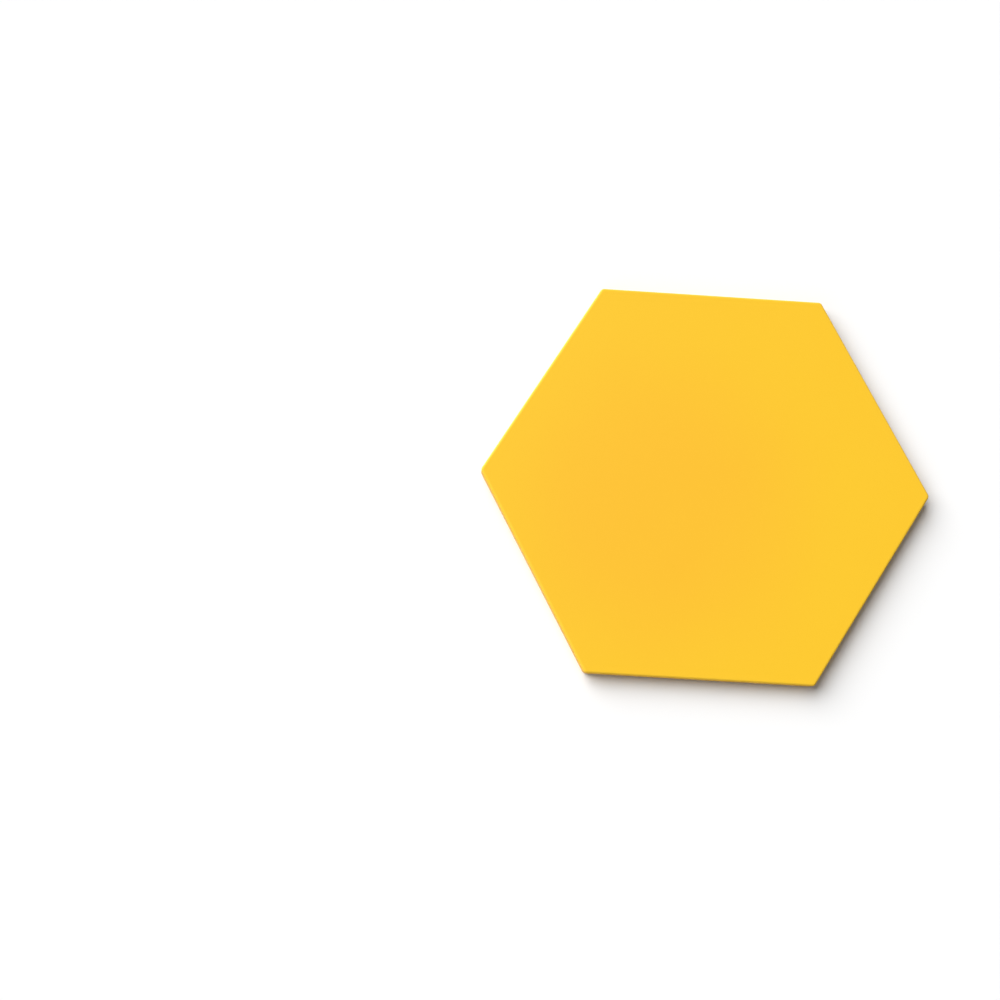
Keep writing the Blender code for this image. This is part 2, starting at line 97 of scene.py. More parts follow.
class NodeSheet:
    """A shader node tree while it is being drawn, with short calls to add nodes and join them."""

    def __init__(self, tree: bpy.types.NodeTree) -> None:
        """Start on the empty tree of a material, a world or a node group."""
        self.tree = tree
        self.tree.nodes.clear()

    def feed(self, socket: Socket, source: object) -> None:
        """Join an output to an input, or set the input to a plain value.

        Args:
            socket: The input.
            source: An output socket, a number, a vector or a colour.
        """
        if isinstance(source, Socket):
            self.tree.links.new(source, socket)
        else:
            socket.default_value = source

    def add(
        self, kind: str, output: int | str, inputs: dict | None = None, **settings: object
    ) -> Socket:
        """Add a node and feed its inputs.

        Args:
            kind: Blender's type name of the node.
            output: Name or number of the output that is wanted.
            inputs: Values or outputs for its inputs, by their name or number.
            settings: Properties to set on it first.

        Returns:
            The output.
        """
        node = self.tree.nodes.new(kind)
        for name, value in settings.items():
            setattr(node, name, value)
        for key, source in (inputs or {}).items():
            self.feed(node.inputs[key], source)
        return node.outputs[output]

    def math(self, operation: str, first: object, second: object = 0.0) -> Socket:
        """Result of a Math node's operation on one or two numbers."""
        return self.add("ShaderNodeMath", 0, {0: first, 1: second}, operation=operation)

    def plus(self, first: object, second: object) -> Socket:
        """Sum of two numbers."""
        return self.math("ADD", first, second)

    def minus(self, first: object, second: object) -> Socket:
        """First number less the second."""
        return self.math("SUBTRACT", first, second)

    def times(self, first: object, second: object) -> Socket:
        """Product of two numbers."""
        return self.math("MULTIPLY", first, second)

    def measure(self, operation: str, first: object, second: object) -> Socket:
        """Number that a Vector Math node's operation works out from two vectors."""
        inputs = {0: first, 1: second}
        return self.add("ShaderNodeVectorMath", "Value", inputs, operation=operation)

    def axis(self, place: Socket, name: str) -> Socket:
        """One coordinate of a place."""
        return self.add("ShaderNodeSeparateXYZ", name, {0: place})

    def varied(self, base: float, *terms: tuple[Socket, float]) -> Socket:
        """Vary a number over the surface.

        Args:
            base: The number where every mask is 0.
            terms: Masks, each with what it adds where it is 1.

        Returns:
            The result's output.
        """
        result = base
        for mask, share in terms:
            result = self.plus(result, self.times(mask, share))
        return result

    def ramp(self, value: object, over: tuple, result: Span = (0.0, 1.0)) -> Socket:
        """Smooth change from one result to another while a value runs over a range."""
        inputs = dict(enumerate((value, *over, *result)))
        return self.add("ShaderNodeMapRange", 0, inputs, interpolation_type="SMOOTHSTEP")

    def blend(self, share: object, first: object, second: object) -> Socket:
        """Two colours mixed, with a share of the second."""
        inputs = {"Factor": share, 6: opaque(first), 7: opaque(second)}
        return self.add("ShaderNodeMix", 2, inputs, data_type="RGBA")

    def noise(
        self, place: Socket, scale: object, detail: float = 2.0, roughness: float = 0.5
    ) -> Socket:
        """Noise of so many features in a metre, with finer layers of a given strength."""
        inputs = {"Vector": place, "Scale": scale, "Detail": detail, "Roughness": roughness}
        return self.add("ShaderNodeTexNoise", "Fac", inputs)

    def mapped(self, place: Socket, stretch: Place, turn: Place = (0, 0, 0)) -> Socket:
        """A place stretched and turned, so that a pattern runs along a direction."""
        inputs = {"Vector": place, "Rotation": turn, "Scale": stretch}
        return self.add("ShaderNodeMapping", 0, inputs)

    def effect(self, kind: Effect, **inputs: object) -> Socket:
        """Output of a shared effect, with values or outputs for its named inputs."""
        return self.add("ShaderNodeGroup", 0, inputs, node_tree=shared_effect(kind))

    def bump(
        self, height: Socket, distance: float, strength: float, below: Socket | None = None
    ) -> Socket:
        """Normal of a height pattern, 1 being a distance in metres, over another bump's normal."""
        inputs = {"Height": height, "Distance": distance, "Strength": strength}
        return self.add("ShaderNodeBump", 0, inputs | ({} if below is None else {"Normal": below}))

    def close(self, kind: str, source: Socket) -> bpy.types.NodeTree:
        """Join an output to the tree's output node, and give the tree back."""
        self.feed(self.tree.nodes.new(kind).inputs[0], source)
        return self.tree

    def surface(self, **inputs: object) -> None:
        """Close a material with a Principled BSDF, its inputs named with _ for a space."""
        named = {name.replace("_", " "): source for name, source in inputs.items()}
        self.close("ShaderNodeOutputMaterial", self.add("ShaderNodeBsdfPrincipled", 0, named))


def opaque(colour: object) -> object:
    """A colour with full alpha; an output socket is passed on as it is."""
    return (*colour, 1.0) if isinstance(colour, tuple) else colour


def new_group(kind: Effect, output: str, **sizes: float) -> tuple[NodeSheet, bpy.types.NodeOutputs]:
    """Start a shader node group that reads a place and a few sizes and puts out one number.

    Args:
        kind: The effect it holds.
        output: Name of its output.
        sizes: Its number inputs with their first values.

    Returns:
        The sheet to draw on, and the outputs that give the inputs.
    """
    group = bpy.data.node_groups.new(kind.value, "ShaderNodeTree")
    group.interface.new_socket("Vector", in_out="INPUT", socket_type="NodeSocketVector")
    for name, value in sizes.items():
        socket = group.interface.new_socket(name, in_out="INPUT", socket_type="NodeSocketFloat")
        socket.default_value = value
    group.interface.new_socket(output, in_out="OUTPUT", socket_type="NodeSocketFloat")
    sheet = NodeSheet(group)
    return sheet, group.nodes.new("NodeGroupInput").outputs


def shared_effect(kind: Effect) -> bpy.types.NodeTree:
    """The node group of an effect, built when it is first asked for.

    Args:
        kind: Which effect.

    Returns:
        Its node group.
    """
    builders = {
        Effect.CLOUDS: build_clouds,
        Effect.ROLLED_GRAIN: build_rolled_grain,
        Effect.HAIRLINES: build_hairlines,
    }
    return bpy.data.node_groups.get(kind.value) or builders[kind]()


def build_clouds() -> bpy.types.NodeTree:
    """Soft patches of a given size, from 0 to 1.

    Returns:
        The node group, with inputs Vector, Size and Softness and output Mask.
    """
    sheet, given = new_group(Effect.CLOUDS, "Mask", Size=0.05, Softness=0.2)
    per_metre = sheet.math("DIVIDE", 1.0, given["Size"])
    patches = sheet.noise(given["Vector"], per_metre, detail=3.0, roughness=0.55)
    over = (sheet.minus(0.5, given["Softness"]), sheet.plus(0.5, given["Softness"]))
    return sheet.close("NodeGroupOutput", sheet.ramp(patches, over))


def build_rolled_grain() -> bpy.types.NodeTree:
    """Fine streaks along X, as rolling or drawing leaves them, coarse and fine together.

    Returns:
        The node group, with inputs Vector and Width and output Height.
    """
    stretch = (0.02, 1.0, 1.0)
    coarseness = 0.12  # broad streaks to each fine one
    fine_share, broad_share = 0.7, 0.3
    sheet, given = new_group(Effect.ROLLED_GRAIN, "Height", Width=0.0004)
    stretched = sheet.mapped(given["Vector"], stretch)
    per_metre = sheet.math("DIVIDE", 1.0, given["Width"])
    streaks = sheet.noise(stretched, per_metre, detail=4.0, roughness=0.7)
    broad = sheet.noise(stretched, sheet.times(per_metre, coarseness), detail=1.0)
    mixed = sheet.plus(sheet.times(streaks, fine_share), sheet.times(broad, broad_share))
    return sheet.close("NodeGroupOutput", mixed)


def build_hairlines() -> bpy.types.NodeTree:
    """Sparse hairline scratches in two directions, broken up into short runs.

    Returns:
        The node group, with inputs Vector and Spacing and output Mask.
    """
    stretch = (0.02, 1.0, 1.0)
    lean, turns = 0.1, (0.35, 1.9)
    thinness = (0.0, 0.004)  # distance of the noise from its middle, across a scratch
    run_spacing, run_ends = 0.35, (0.5, 0.62)
    sheet, given = new_group(Effect.HAIRLINES, "Mask", Spacing=0.006)
    per_metre = sheet.math("DIVIDE", 1.0, given["Spacing"])
    lines = None
    for turn in turns:
        stretched = sheet.mapped(given["Vector"], stretch, (lean, 0.0, turn))
        ridge = sheet.math("ABSOLUTE", sheet.minus(sheet.noise(stretched, per_metre, 1.0), 0.5))
        thin = sheet.ramp(ridge, thinness, (1.0, 0.0))
        lines = thin if lines is None else sheet.math("MAXIMUM", lines, thin)
    runs = sheet.noise(given["Vector"], sheet.times(per_metre, run_spacing), 2.0)
    return sheet.close("NodeGroupOutput", sheet.times(lines, sheet.ramp(runs, run_ends)))


def new_material(name: str) -> tuple[bpy.types.Material, NodeSheet]:
    """Start a material.

    Args:
        name: Name of the finish.

    Returns:
        The material and the sheet to draw its nodes on.
    """
    material = bpy.data.materials.new(name)
    material.use_nodes = True
    return material, NodeSheet(material.node_tree)


@dataclass(frozen=True)
class PowderCoat:
    """Satin powder coat: a full coat outside, and a thin wrap of powder over bare sheet inside."""

    apothem: float
    depth: float
    sheet: float
    warm: Colour = (0.868, 0.475, 0.0240)
    lemon: Colour = (0.868, 0.522, 0.0215)
    # Colour of the painted highlight along the fold.
    painted_fold_highlight: Colour = (0.930, 0.560, 0.0450)
    deep: Colour = (0.800, 0.420, 0.0150)
    bare: Colour = (0.500, 0.508, 0.505)
    bare_streak: Colour = (0.450, 0.4572, 0.4545)
    bare_metallic: float = 0.6
    roughness: float = 0.48
    smudge_roughness: float = 0.05
    line_roughness: float = -0.04
    texture_roughness: float = 0.06
    specular: float = 0.2
    bump_strength: float = 0.8
    # Painted light falloff over the face: its middle, the range of its fade and its share.
    painted_light_middle: Place = (-0.06, -0.03, 0.0)
    painted_light_fade: Span = (0.07, 0.27)
    painted_light_share: float = 0.85
    cloud_size: float = 0.12
    cloud_share: float = 0.15
    # Share of painted shade on the walls and lips.
    painted_wall_shade_share: float = 0.85
    painted_highlight_fade: Span = (0.0005, 0.0045)
    painted_highlight_share: float = 0.5
    wrap_fade: Span = (0.02, 0.055)
    wrap_cover: Span = (0.9, 0.12)
    mottle_size: float = 0.018
    mottle_cover: Span = (0.75, 1.1)
    bare_below: Span = (0.1, 0.7)
    smooth_share: float = 0.9
    peel_size: float = 0.0018
    peel_height: float = 0.00009
    texture_size: float = 0.00035
    texture_height: float = 0.00002
    fleck_over: Span = (0.5, 0.8)
    fleck_share: float = 0.35
    grain_width: float = 0.0006
    grain_over: Span = (0.35, 0.65)
    smudge_size: float = 0.07
    line_spacing: float = 0.03

    def inset(self, sheet: NodeSheet, place: Socket) -> Socket:
        """Distance inwards from the outside of the nearest wall.

        Args:
            sheet: Sheet of the material.
            place: Output that gives the place on the panel.

        Returns:
            The distance's output, in metres.
        """
        reach = None
        for side in range(SIDES // 2):
            angle = HALF_SIXTH + side * SIXTH
            normal = (math.cos(angle), math.sin(angle), 0.0)
            across = sheet.math("ABSOLUTE", sheet.measure("DOT_PRODUCT", place, normal))
            reach = across if reach is None else sheet.math("MAXIMUM", reach, across)
        return sheet.minus(self.apothem, reach)

    def material(self) -> bpy.types.Material:
        """Build the finish.

        Returns:
            The material.
        """
        material, sheet = new_material(Slot.POWDER_COAT.value)
        place = sheet.add("ShaderNodeTexCoord", "Object")
        up = sheet.axis(place, "Z")
        inset = self.inset(sheet, place)

        below_face = sheet.minus(self.depth, up)
        from_outside = sheet.math("MINIMUM", inset, sheet.math("MINIMUM", up, below_face))
        inside = sheet.ramp(from_outside, (0.6 * self.sheet, 0.8 * self.sheet))

        # Painted light falloff: the coat is painted warmer round a point near the middle of the face
        # and more lemon towards its edges. The clouds on top are random tone.
        from_middle = sheet.measure("DISTANCE", place, self.painted_light_middle)
        cloud = sheet.effect(Effect.CLOUDS, Vector=place, Size=self.cloud_size, Softness=0.3)
        outwards = sheet.ramp(from_middle, self.painted_light_fade, (0.0, self.painted_light_share))
        drift = sheet.plus(outwards, sheet.times(cloud, self.cloud_share))
        coat = sheet.blend(drift, self.warm, self.lemon)
        fold = (self.depth - 2.5 * self.sheet, self.depth - self.sheet)
        # Painted shade: the walls and lips below the fold are painted a deeper yellow than the face,
        # which holds down their brightness where the light falls on them.
        coat = sheet.blend(sheet.ramp(up, fold, (self.painted_wall_shade_share, 0.0)), coat, self.deep)
        # Painted highlight: a lighter band along the outer edge of the fold, where it catches the
        # light.
        painted_highlight_band = sheet.ramp(inset, self.painted_highlight_fade, (self.painted_highlight_share, 0.0))
        coat = sheet.blend(sheet.times(sheet.ramp(up, fold), painted_highlight_band), coat, self.painted_fold_highlight)

        mottle = sheet.effect(Effect.CLOUDS, Vector=place, Size=self.mottle_size, Softness=0.3)
        wrap = sheet.ramp(inset, self.wrap_fade, self.wrap_cover)
        thick = sheet.times(wrap, sheet.ramp(mottle, (0.0, 1.0), self.mottle_cover))
        grain = sheet.effect(Effect.ROLLED_GRAIN, Vector=place, Width=self.grain_width)
        bare = sheet.blend(sheet.ramp(grain, self.grain_over), self.bare, self.bare_streak)
        back_coat = sheet.blend(thick, bare, self.warm)

        peel = sheet.noise(place, 1.0 / self.peel_size, detail=2.0, roughness=0.55)
        texture = sheet.noise(place, 1.0 / self.texture_size, detail=1.0)
        flecks = sheet.ramp(texture, self.fleck_over, (0.0, self.fleck_share))
        colour = sheet.blend(inside, sheet.blend(flecks, coat, self.deep), back_coat)

        lines = sheet.effect(Effect.HAIRLINES, Vector=place, Spacing=self.line_spacing)
        smudge = sheet.effect(Effect.CLOUDS, Vector=place, Size=self.smudge_size, Softness=0.25)
        rough = sheet.varied(
            self.roughness,
            (smudge, self.smudge_roughness),
            (lines, self.line_roughness),
            (texture, self.texture_roughness),
        )
        uncoated = sheet.times(inside, sheet.ramp(thick, self.bare_below, (1.0, 0.0)))
        coated = sheet.minus(1.0, sheet.times(uncoated, self.smooth_share))
        normal = None
        for height, distance in ((peel, self.peel_height), (texture, self.texture_height)):
            normal = sheet.bump(sheet.times(height, coated), distance, self.bump_strength, normal)
        sheet.surface(
            Base_Color=colour,
            Roughness=rough,
            Metallic=sheet.times(uncoated, self.bare_metallic),
            Normal=normal,
            Specular_IOR_Level=self.specular,
        )
        return material


@dataclass(frozen=True)
class MillAluminium:
    """Mill finish sheet: rolling grain along the piece, long soft smudges and a few scratches."""

    light: Colour = (0.560, 0.567, 0.576)
    dull: Colour = (0.425, 0.434, 0.445)
    scratch: Colour = (0.680, 0.685, 0.690)
    roughness: float = 0.49
    smudge_roughness: float = 0.09
    grain_roughness: float = 0.12
    line_roughness: float = -0.06
    grain_width: float = 0.0005
    grain_height: float = 0.000012
    grain_over: Span = (0.35, 0.68)
    bump_strength: float = 0.6
    smudge_stretch: Place = (0.22, 1.0, 1.0)
    smudge_size: float = 0.016
    smudge_share: float = 0.22
    line_spacing: float = 0.008
    line_share: float = 0.35

    def material(self) -> bpy.types.Material:
        """Build the finish.

        Returns:
            The material.
        """
        material, sheet = new_material(Slot.MILL.value)
        place = sheet.add("ShaderNodeAttribute", "Vector", attribute_name=LOCAL_PLACE)
        grain = sheet.effect(Effect.ROLLED_GRAIN, Vector=place, Width=self.grain_width)
        along = sheet.mapped(place, self.smudge_stretch)
        smudge = sheet.effect(Effect.CLOUDS, Vector=along, Size=self.smudge_size, Softness=0.3)
        lines = sheet.effect(Effect.HAIRLINES, Vector=place, Spacing=self.line_spacing)
        colour = sheet.blend(sheet.ramp(grain, self.grain_over), self.light, self.dull)
        colour = sheet.blend(sheet.times(smudge, self.smudge_share), colour, self.dull)
        colour = sheet.blend(sheet.times(lines, self.line_share), colour, self.scratch)
        rough = sheet.varied(
            self.roughness,
            (smudge, self.smudge_roughness),
            (grain, self.grain_roughness),
            (lines, self.line_roughness),
        )
        normal = sheet.bump(grain, self.grain_height, self.bump_strength)
        sheet.surface(Base_Color=colour, Roughness=rough, Metallic=1.0, Normal=normal)
        return material


@dataclass(frozen=True)
class TurnedMetal:
    """Bright metal of a round fastener: rings about its axis, with a slight drift of tint."""

    slot: Slot
    light: Colour
    tint: Colour
    roughness: float
    ring_roughness: float = 0.15
    line_roughness: float = 0.1
    ring_width: float = 0.00012
    ring_height: float = 0.000006
    bump_strength: float = 0.5
    cloud_size: float = 0.004
    line_spacing: float = 0.002

    def material(self) -> bpy.types.Material:
        """Build the finish.

        Returns:
            The material.
        """
        material, sheet = new_material(self.slot.value)
        place = sheet.add("ShaderNodeAttribute", "Vector", attribute_name=LOCAL_PLACE)
        x, y, z = (sheet.axis(place, name) for name in "XYZ")
        radius = sheet.math("SQRT", sheet.plus(sheet.times(x, x), sheet.times(y, y)))
        on_section = sheet.add("ShaderNodeCombineXYZ", 0, {"X": radius, "Z": z})
        rings = sheet.noise(on_section, 1.0 / self.ring_width)
        cloud = sheet.effect(Effect.CLOUDS, Vector=place, Size=self.cloud_size, Softness=0.25)
        lines = sheet.effect(Effect.HAIRLINES, Vector=place, Spacing=self.line_spacing)
        colour = sheet.blend(cloud, self.light, self.tint)
        rough = sheet.varied(
            self.roughness, (rings, self.ring_roughness), (lines, self.line_roughness)
        )
        normal = sheet.bump(rings, self.ring_height, self.bump_strength)
        sheet.surface(Base_Color=colour, Roughness=rough, Metallic=1.0, Normal=normal)
        return material


def clear_selection() -> None:
    """Deselect everything, so that an operator acts only on what is picked next."""
    bpy.ops.object.select_all(action="DESELECT")


def pick(piece: Piece) -> None:
    """Select one piece alone and make it active."""
    clear_selection()
    piece.select_set(True)
    bpy.context.view_layer.objects.active = piece


@contextmanager
def editing(piece: Piece) -> Iterator[None]:
    """Keep one piece in edit mode for a while."""
    pick(piece)
    bpy.ops.object.mode_set(mode="EDIT")
    yield
    bpy.ops.object.mode_set(mode="OBJECT")


def settle() -> Piece:
    """Apply the active object's place to its mesh, and give it back."""
    bpy.ops.object.transform_apply(location=True, rotation=True, scale=True)
    return bpy.context.object


def take_up(name: str) -> Piece:
    """Name the primitive that was just added, and apply its place to its mesh."""
    bpy.context.object.name = name
    return settle()


def select(piece: Piece, kind: str, test: Callable[..., bool]) -> None:
    """In edit mode, select the edges or vertices that pass a test.

    Args:
        piece: The piece in edit mode.
        kind: EDGE or VERT.
        test: Takes the places of an edge's two ends, or of a vertex.
    """
    bpy.ops.mesh.select_mode(type=kind)
    bpy.ops.mesh.select_all(action="DESELECT")
    mesh = bmesh.from_edit_mesh(piece.data)
    for part in mesh.edges if kind == "EDGE" else mesh.verts:
        ends = part.verts if kind == "EDGE" else [part]
        part.select_set(bool(test(*(end.co for end in ends))))
    bmesh.update_edit_mesh(piece.data)


def upright(one: Vector, other: Vector) -> bool:
    """Whether the edge between two places stands upright."""
    return (one.xy - other.xy).length < WELD


def face_outwards() -> None:
    """In edit mode, turn all faces of a mesh the same way, outwards."""
    bpy.ops.mesh.select_all(action="SELECT")
    bpy.ops.mesh.normals_make_consistent(inside=False)


def extrude(shift: Place) -> None:
    """In edit mode, extrude what is selected and move it by a shift."""
    bpy.ops.mesh.extrude_region_move(TRANSFORM_OT_translate={"value": shift})


def bevel(
    offset: float, steps: int = BEND_STEPS, profile: float = 0.5, affect: str = "EDGES"
) -> None:
    """In edit mode, round or cut off the selected edges, or vertices, in a number of facets."""
    bpy.ops.mesh.bevel(offset=offset, segments=steps, profile=profile, affect=affect)


def apply_modifier(piece: Piece, kind: str, **settings: object) -> None:
    """Add a modifier and apply it.

    Args:
        piece: The piece to change.
        kind: Blender's type name of the modifier.
        settings: Properties to set on it.
    """
    pick(piece)
    modifier = piece.modifiers.new(kind.lower(), kind)
    for name, value in settings.items():
        setattr(modifier, name, value)
    bpy.ops.object.modifier_apply(modifier=modifier.name)


def thicken(piece: Piece, sheet: float) -> None:
    """Give a folded sheet its thickness, half to each side."""
    apply_modifier(piece, "SOLIDIFY", thickness=sheet, offset=0.0, use_even_offset=True)


def cut(piece: Piece, tool: Piece, operation: str = "DIFFERENCE") -> None:
    """Cut, join or trim a piece with a closed shape, which is then thrown away."""
    apply_modifier(piece, "BOOLEAN", object=tool, operation=operation, solver="EXACT")
    bpy.data.objects.remove(tool, do_unlink=True)


def joined(pieces: Sequence[Piece]) -> Piece:
    """Join separate shapes into one object.

    Args:
        pieces: The shapes, which don't touch.

    Returns:
        The first, which now holds them all.
    """
    pick(pieces[0])
    for piece in pieces[1:]:
        piece.select_set(True)
    bpy.ops.object.join()
    return pieces[0]


def copied(model: Piece, name: str, turn: float = 0.0, shift: Place = (0, 0, 0)) -> Piece:
    """Copy a shape with its own mesh, turned about the panel's middle and then moved.

    Args:
        model: The shape to copy.
        name: Name of the copy.
        turn: Turn about Z, in radians.
        shift: Move after the turn.

    Returns:
        The copy, its place in its mesh.
    """
    pick(model)
    bpy.ops.object.duplicate(linked=False)
    copy = bpy.context.object
    copy.name = name
    copy.data.name = name
    copy.rotation_euler = (0, 0, turn)
    copy.location = shift
    return settle()


def round_the_panel(model: Piece) -> Piece:
    """One object with a cutting shape repeated at all six corners or sides.

    Args:
        model: The shape at the first of them, which is used up.

    Returns:
        The joined shapes.
    """
    turns = [index * SIXTH for index in range(1, SIDES)]
    copies = [copied(model, f"{model.name}_{index}", turn) for index, turn in enumerate(turns, 1)]
    return joined([model, *copies])


def block(name: str, low: Place, high: Place) -> Piece:
    """Rectangular block between two corners.

    Args:
        name: Name of the object.
        low: Lowest corner.
        high: Highest corner.

    Returns:
        The block.
    """
    clear_selection()
    middle = (Vector(low) + Vector(high)) / 2
    bpy.ops.mesh.primitive_cube_add(size=1, location=middle, scale=Vector(high) - Vector(low))
    return take_up(name)


def blank(name: str, centre: Place, length: float, width: float) -> Piece:
    """Flat sheet without thickness, to be folded in edit mode.

    Args:
        name: Name of the object.
        centre: Its middle.
        length: Its size along X.
        width: Its size along Y.

    Returns:
        The sheet.
    """
    clear_selection()
    bpy.ops.mesh.primitive_plane_add(size=1, location=centre)
    bpy.context.object.scale = (length, width, 1)
    return take_up(name)


def rod(
    name: str, radius: float, low: float, high: float, centre: Span = (0, 0),
    sides: int = ROUND_STEPS,
) -> Piece:
    """Upright round rod.

    Args:
        name: Name of the object.
        radius: Its radius.
        low: Height of its lower end.
        high: Height of its upper end.
        centre: Its axis, on the plan.
        sides: Number of facets round it.

    Returns:
        The rod.
    """
    clear_selection()
    bpy.ops.mesh.primitive_cylinder_add(
        vertices=sides,
        radius=radius,
        depth=high - low,
        end_fill_type="NGON",
        location=(*centre, (low + high) / 2),
    )
    return take_up(name)


def slotted_rod(length: float, width: float, low: float, high: float, centre: Span) -> Piece:
    """Upright cutting shape of an obround slot that runs along Y.

    Args:
        length: Whole length of the slot.
        width: Width of the slot.
        low: Height of its lower end.
        high: Height of its upper end.
        centre: Its middle, on the plan.

    Returns:
        The shape.
    """
    piece = rod("slot", width / 2, low, high, centre)
    with editing(piece):
        for hand in (1, -1):
            select(piece, "VERT", lambda co: hand * (co.y - centre[1]) > WELD)
            bpy.ops.transform.translate(value=(0, hand * (length - width) / 2, 0))
    return piece


def turned(name: str, profile: Sequence[Span], sides: int = ROUND_STEPS) -> Piece:
    """Shape turned about Z, made by extruding and scaling a disc from one end to the other.

    Args:
        name: Name of the object.
        profile: Radius and height at each step, none on the axis.
        sides: Number of facets round it.

    Returns:
        The closed shape.
    """
    clear_selection()
    radius, height = profile[0]
    bpy.ops.mesh.primitive_circle_add(
        vertices=sides, radius=radius, fill_type="NGON", location=(0, 0, height)
    )
    piece = take_up(name)
    with editing(piece):
        bpy.ops.mesh.select_mode(type="FACE")
        bpy.ops.mesh.select_all(action="SELECT")
        for next_radius, next_height in profile[1:]:
            extrude((0, 0, next_height - height))
            share = next_radius / radius
            bpy.ops.transform.resize(value=(share, share, 1), center_override=(0, 0, next_height))
            radius, height = next_radius, next_height
        face_outwards()
    return piece


def soften(piece: Piece, edge: float, sharp: float = 35.0) -> None:
    """Break the sharp edges of a piece and shade its round parts smoothly.

    Args:
        piece: The finished shape.
        edge: Width of the broken edge, or 0 to leave the edges as they are.
        sharp: Edges turn sharper than this many degrees are broken.
    """
    if edge:
        apply_modifier(
            piece, "TRIANGULATE", quad_method="BEAUTY", ngon_method="BEAUTY", min_vertices=5
        )
        apply_modifier(
            piece,
            "BEVEL",
            width=edge,
            segments=2,
            limit_method="ANGLE",
            angle_limit=math.radians(sharp),
            use_clamp_overlap=True,
            miter_outer="MITER_ARC",
        )
    pick(piece)
    bpy.ops.object.shade_smooth_by_angle(angle=math.radians(sharp))
    apply_modifier(piece, "WEIGHTED_NORMAL", mode="FACE_AREA", weight=100, keep_sharp=True)


def record_place(piece: Piece, lay: Callable[[Vector], Sequence[float]] = tuple) -> None:
    """Keep a piece's own coordinates on its points, so that its grain turns with its copies.

    Args:
        piece: The finished shape.
        lay: Turns a point's place into its place along and across the grain, which runs along X.
    """
    places = piece.data.attributes.new(LOCAL_PLACE, "FLOAT_VECTOR", "POINT")
    for corner, place in zip(piece.data.vertices, places.data):
        place.vector = lay(corner.co)


def shift_grain(piece: Piece, number: int) -> None:
    """Move a copy's grain along, so that no two copies carry the same marks.

    Args:
        piece: The copy.
        number: Its number among the copies.
    """
    shift = Vector((0, 0, GRAIN_SHIFT * number))
    for place in piece.data.attributes[LOCAL_PLACE].data:
        place.vector = Vector(place.vector) + shift


def dress(piece: Piece, material: bpy.types.Material, node: str) -> None:
    """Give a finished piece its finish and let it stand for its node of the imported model.

    Args:
        piece: The finished piece.
        material: Its finish.
        node: The node that it replaces.
    """
    piece.data.materials.clear()
    piece.data.materials.append(material)
    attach(piece, "root")
    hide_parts(node)


def middle_of(node: str) -> Vector:
    """Middle of a node's box, in the frame."""
    low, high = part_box(node)
    return (low + high) / 2


def heights_of(node: str) -> Span:
    """Lowest and highest point of a node."""
    low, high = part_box(node)
    return low.z, high.z


@dataclass(frozen=True)
class Kit:
    """A finished model, with the finish of its copies and the first words of their names."""

    model: Piece
    material: bpy.types.Material
    slot: Slot
    name: str
    node: str

    def copy(self, number: int, start: float | None) -> Piece:
        """Set one copy, dressed for its node.

        Args:
            number: Its number among the copies.
            start: Turn of the first copy, where they go round the panel's middle. With None, each
                goes on its own node's axis.

        Returns:
            The copy.
        """
        node = f"{self.node}_{number}"
        if start is None:
            piece = copied(self.model, f"{self.name}_{number}", 0.0, (*middle_of(node).xy, 0))
        else:
            piece = copied(self.model, f"{self.name}_{number}", start + (number - 1) * SIXTH)
        shift_grain(piece, number)
        dress(piece, self.material, node)
        return piece


def set_copies(kits: Sequence[Kit], count: int, start: float | None = None) -> list[Piece]:
    """Set the copies of one or more models, and throw the models away.

    Args:
        kits: The models.
        count: Number of copies of each.
        start: As in Kit.copy.

    Returns:
        The finished copies.
    """
    made = [kit.copy(number, start) for number in range(1, count + 1) for kit in kits]
    for kit in kits:
        bpy.data.objects.remove(kit.model, do_unlink=True)
    return made


@dataclass(frozen=True)
class Hexagon:
    """Plan and depth of the panel."""

    apothem: float
    depth: float
    rounding: float

    @classmethod
    def from_frame(cls) -> "Hexagon":
        """Read the panel's walls, depth and rounded corners from the tray's node.

        Returns:
            The plan.
        """
        low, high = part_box("face_tray")
        apothem = (high.y - low.y) / 2
        cut_off = apothem / math.cos(HALF_SIXTH) - high.x
        rounding = cut_off / (1 / math.cos(HALF_SIXTH) - 1)
        return cls(apothem, high.z - low.z, rounding)

    def corner_radius(self, inset: float) -> float:
        """Distance from the middle to a sharp corner of the hexagon at an inset."""
        return (self.apothem - inset) / math.cos(HALF_SIXTH)

    def corner_wall(self, inset: float) -> float:
        """Distance from the middle to the rounded corner of the hexagon at an inset."""
        return self.corner_radius(self.rounding) + self.rounding - inset

    def block(
        self, name: str, inset: float, heights: Span, corner: float = 0.0, fold: float = 0.0
    ) -> Piece:
        """Hexagonal block at an inset, its upright corners and level edges rounded.

        Args:
            name: Name of the object.
            inset: How far its sides stay inside the outside of the walls.
            heights: Heights of its underside and its top.
            corner: Radius of its upright corners.
            fold: Radius of its level edges.

        Returns:
            The block.
        """
        low, high = heights
        clear_selection()
        bpy.ops.mesh.primitive_cylinder_add(
            vertices=SIDES,
            radius=self.corner_radius(inset),
            depth=high - low,
            end_fill_type="NGON",
            location=(0, 0, (low + high) / 2),
            rotation=(0, 0, HALF_SIXTH),
        )
        piece = take_up(name)
        with editing(piece):
            if corner:
                select(piece, "EDGE", upright)
                bevel(corner * math.tan(HALF_SIXTH), CORNER_STEPS, ROUND_AT_120)
            if fold:
                select(piece, "EDGE", lambda one, other: abs(one.z - other.z) < WELD)
                bevel(fold, FOLD_STEPS)
        return piece


